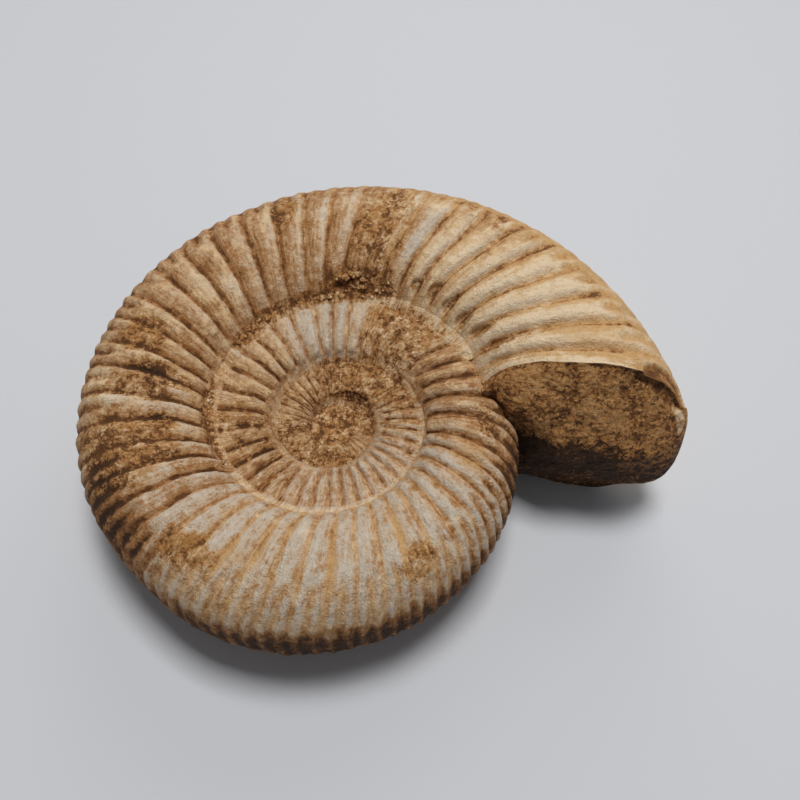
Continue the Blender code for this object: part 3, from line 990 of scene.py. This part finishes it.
def broken_material():
    """The rough stone filling, seen where the last turn has broken off."""
    colours = bpy.context.scene.fossil_colours
    material, graph, shader = start_material("Broken stone", 0.8)
    place = graph.node("ShaderNodeTexCoord").outputs["Object"]
    fine, middling, patchy, grains, flakes = stone_grain(graph, place).values()
    step, around, ledge = read_marks(graph, "coil")
    broad, rough, _ = read_marks(graph, "wear")
    uneven = fine * 1.2 + middling * 0.9 + patchy * 1.3 + grains * 0.55
    uneven = uneven - broad - rough
    uneven = graph.math("MINIMUM", graph.math("MAXIMUM", uneven * (1 - ledge * 0.6), -0.30), 0.27)
    stain = 0.585 + uneven + ledge * 0.16 + flakes * 0.10
    stain = stain + graph.ramp(0.12, 0.0, step) * 0.08
    # The lower face of the break, undercut and facing down, is painted darker: painted shade.
    below = graph.ramp(0.47, 0.55, around + step * 0.08 + patchy * 0.05)
    stain = stain + below * (step * 0.3 + 0.32)
    chip = oval(graph, step * 10, around, 0.5, 0.44, 0.30, 0.035) + (patchy + middling) * 2.0
    chip = graph.clamp(chip * 3.0) * graph.ramp(0.12, 0.08, step)
    rim = graph.ramp(0.014, 0.004, step) * graph.ramp(0.52, 0.45, around)
    stain = stain - graph.math("MAXIMUM", rim, chip) * 0.45
    base = stone_colour(graph, graph.clamp(stain))
    base = blend_colour(graph, base, colours.orange, graph.ramp(0.74, 0.48, stain) * (1 - chip) * 0.6)
    dress(graph, shader, base, fine * 0.7 + middling * 0.8 + grains * 0.25, 0.9 * MM)
    return material


def table_material():
    material, _, shader = start_material("Table", 0.9)
    shader.inputs["Base Color"].default_value = bpy.context.scene.fossil_colours.table
    return material


def colour_property(name, description, default):
    return bpy.props.FloatVectorProperty(
        name=name, description=description, default=default, size=4, subtype="COLOR", min=0.0, max=1.0)


class FossilSizes(bpy.types.PropertyGroup):
    """Sizes of the fossil that a user may change."""

    coil_radius: bpy.props.FloatProperty(
        name="Coil radius", description="Radius of the coil at its open end", default=0.072,
        unit="LENGTH", subtype="DISTANCE")


class FossilColours(bpy.types.PropertyGroup):
    """Colours of the stone."""

    pale: colour_property("Pale", "Clean worn stone", (0.90, 0.70, 0.47, 1))
    cream: colour_property("Cream", "Clean young ribs", (0.80, 0.54, 0.29, 1))
    tan: colour_property("Tan", "Plain stone", (0.555, 0.315, 0.15, 1))
    rust: colour_property("Rust", "Red-brown crust", (0.42, 0.19, 0.062, 1))
    soil: colour_property("Soil", "Darker brown crust", (0.21, 0.088, 0.03, 1))
    dark: colour_property("Dark", "Nearly black stain", (0.055, 0.026, 0.012, 1))
    grey: colour_property("Grey", "Bluish worn stone", (0.66, 0.615, 0.55, 1))
    ochre: colour_property("Ochre", "Yellow stain", (0.66, 0.37, 0.13, 1))
    orange: colour_property("Orange", "Bright rust", (0.49, 0.218, 0.05, 1))
    table: colour_property("Table", "Table top", (0.645, 0.66, 0.695, 1))


def ribbed_stone():
    return bpy.data.materials.get("Ribbed stone") or ribbed_material()


class FOSSIL_OT_last_turn(bpy.types.Operator):
    """Add the last turn, in two lengths that meet in a groove, and its underside"""

    bl_idname = "fossil.last_turn"
    bl_label = "Last Turn"

    def execute(self, context):
        tree = surface_tree("last_turn")
        upper, lower = (0.0, UNDERSIDE_START), (UNDERSIDE_START, 2.0)
        for name, along, across, columns, rows in (
                ("last_turn_young", (BROKEN_END, YOUNG_LENGTH_END), upper, 640, 148),
                ("last_turn_old", (YOUNG_LENGTH_END, LAST_TURN_END), upper, 660, 148),
                ("last_turn_underside", (BROKEN_END, LAST_TURN_END), lower, 900, 56)):
            grow(name, tree, Stone=ribbed_stone(), Columns=columns, Rows=rows, **stretch(along, across))
        return {"FINISHED"}


class FOSSIL_OT_inner_turns(bpy.types.Operator):
    """Add the older turns that show inside the last one, on both sides"""

    bl_idname = "fossil.inner_turns"
    bl_label = "Inner Turns"

    def execute(self, context):
        inside = stretch((LAST_TURN_END, INNER_TURNS_END), (0.0, 1.1))
        for name, side, columns, rows in (("inner_turns_upper", 1, 2000, 48),
                                          ("inner_turns_lower", -1, 1200, 24)):
            tree = surface_tree("inner_turns", side, side > 0)
            grow(name, tree, Stone=ribbed_stone(), Columns=columns, Rows=rows, **inside)
        return {"FINISHED"}


class FOSSIL_OT_seam(bpy.types.Operator):
    """Add the sediment and the lumps of crust that lie in the seam between the turns"""

    bl_idname = "fossil.seam"
    bl_label = "Seam"

    def execute(self, context):
        for kind, start, end in (("outer_fill", SEAM_FILL_START, LAST_TURN_END),
                                 ("inner_fill", LAST_TURN_END, INNER_SEAM_FILL_END)):
            grow(kind, surface_tree(kind), Stone=ribbed_stone(), Columns=1100, Rows=9,
                 **stretch((start, end), (0.0, 1.0)))
        tree = lump_tree()
        for name, count, turns, across, sizes, stain, subdivisions, seed in (
                ("seam_knobs_cluster", 9, (76, 90), (0.05, 0.15), (0.6, 1.0), 0.43, 4, 10),
                ("seam_knobs", 14, (70, 150), (0.0, 0.035), (0.6, 1.15), 0.40, 4, 20),
                ("seam_grains", 34, (66, 96), (0.0, 0.13), (0.2, 0.6), 0.44, 3, 30),
                ("seam_grains_left", 60, (96, 215), (0.0, 0.045), (0.2, 0.5), 0.41, 3, 40)):
            reach = {"Turn Start": turns[0] * DEGREE, "Turn End": turns[1] * DEGREE,
                     "Across Start": across[0], "Across End": across[1]}
            grow(name, tree, Stone=ribbed_stone(), Count=count, Smallest=sizes[0] * MM,
                 Largest=sizes[1] * MM, Stain=stain, Subdivisions=subdivisions, Seed=seed, **reach)
        return {"FINISHED"}


class FOSSIL_OT_middle(bpy.types.Operator):
    """Add the crust in the middle of the coil, on both sides"""

    bl_idname = "fossil.middle"
    bl_label = "Crusted Middle"

    def execute(self, context):
        for name, side in (("middle_upper", 1), ("middle_lower", -1)):
            tree = surface_tree("disc", side, side < 0)
            grow(name, tree, Stone=ribbed_stone(), Columns=60, Rows=260,
                 **stretch((0.0, MIDDLE_RADIUS), (0.0, 1.0)))
        return {"FINISHED"}


class FOSSIL_OT_broken_end(bpy.types.Operator):
    """Add the rough break across the last turn"""

    bl_idname = "fossil.broken_end"
    bl_label = "Broken End"

    def execute(self, context):
        tree = surface_tree("break")
        grow("broken_end", tree, Stone=broken_material(), Columns=200, Rows=250,
             **stretch((0.0, 1.0), (0.0, 1.0)))
        return {"FINISHED"}


def add_area_light(name, place, sizes, power):
    """A soft rectangular light that points at the fossil."""
    data = bpy.data.lights.new(name, "AREA")
    data.shape = "RECTANGLE"
    data.size, data.size_y = sizes
    data.energy = power
    data.color = LAMP_COLOUR
    lamp = bpy.data.objects.new(name, data)
    lamp.location = place
    lamp.rotation_euler = (-Vector(place)).to_track_quat("-Z", "Y").to_euler()
    bpy.context.scene.collection.objects.link(lamp)


class FOSSIL_OT_stage(bpy.types.Operator):
    """Add the table, the lights and the camera"""

    bl_idname = "fossil.stage"
    bl_label = "Stage"

    def execute(self, context):
        scene = context.scene
        mesh = bpy.data.meshes.new("table")
        corners = [(x * TABLE_HALF, y * TABLE_HALF, 0) for x, y in ((-1, -1), (1, -1), (1, 1), (-1, 1))]
        mesh.from_pydata(corners, [], [(0, 1, 2, 3)])
        mesh.materials.append(table_material())
        floor = bpy.data.objects.new("table", mesh)
        scene.collection.objects.link(floor)
        floor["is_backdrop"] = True
        world = bpy.data.worlds.new("Soft daylight")
        world.use_nodes = True
        sky = world.node_tree.nodes["Background"].inputs
        sky["Color"].default_value = SKY_COLOUR
        sky["Strength"].default_value = SKY_STRENGTH
        scene.world = world
        for light in LAMPS:
            add_area_light(*light)
        data = bpy.data.cameras.new("Camera")
        data.sensor_width = 36
        data.lens = 36
        data.clip_start = 0.01
        camera = bpy.data.objects.new("Camera", data)
        camera.location = CAMERA_PLACE
        camera.rotation_euler = [angle * DEGREE for angle in CAMERA_TURN]
        scene.collection.objects.link(camera)
        scene.camera = camera
        scene.view_settings.view_transform = "Standard"
        return {"FINISHED"}


class FOSSIL_PT_panel(bpy.types.Panel):
    """Lists the pieces of the fossil"""

    bl_label = "Ammonite Fossil"
    bl_idname = "FOSSIL_PT_panel"
    bl_space_type = "VIEW_3D"
    bl_region_type = "UI"
    bl_category = "Fossil"

    def draw(self, context):
        for settings in (context.scene.fossil_sizes, context.scene.fossil_colours):
            for name in settings.__annotations__:
                self.layout.prop(settings, name)
        for operator in OPERATORS:
            self.layout.operator(operator.bl_idname)


PROPERTY_GROUPS = (FossilSizes, FossilColours)
OPERATORS = (FOSSIL_OT_last_turn, FOSSIL_OT_inner_turns, FOSSIL_OT_seam, FOSSIL_OT_middle,
             FOSSIL_OT_broken_end, FOSSIL_OT_stage)


def register():
    for item in (*PROPERTY_GROUPS, *OPERATORS, FOSSIL_PT_panel):
        bpy.utils.register_class(item)
    bpy.types.Scene.fossil_sizes = bpy.props.PointerProperty(type=FossilSizes)
    bpy.types.Scene.fossil_colours = bpy.props.PointerProperty(type=FossilColours)


def unregister():
    del bpy.types.Scene.fossil_sizes
    del bpy.types.Scene.fossil_colours
    for item in reversed((*PROPERTY_GROUPS, *OPERATORS, FOSSIL_PT_panel)):
        bpy.utils.unregister_class(item)


def main():
    register()
    for operator in OPERATORS:
        group, name = operator.bl_idname.split(".")
        getattr(getattr(bpy.ops, group), name)()
    visual_box = [list(corner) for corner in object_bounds()]


if __name__ == "__main__":
    main()
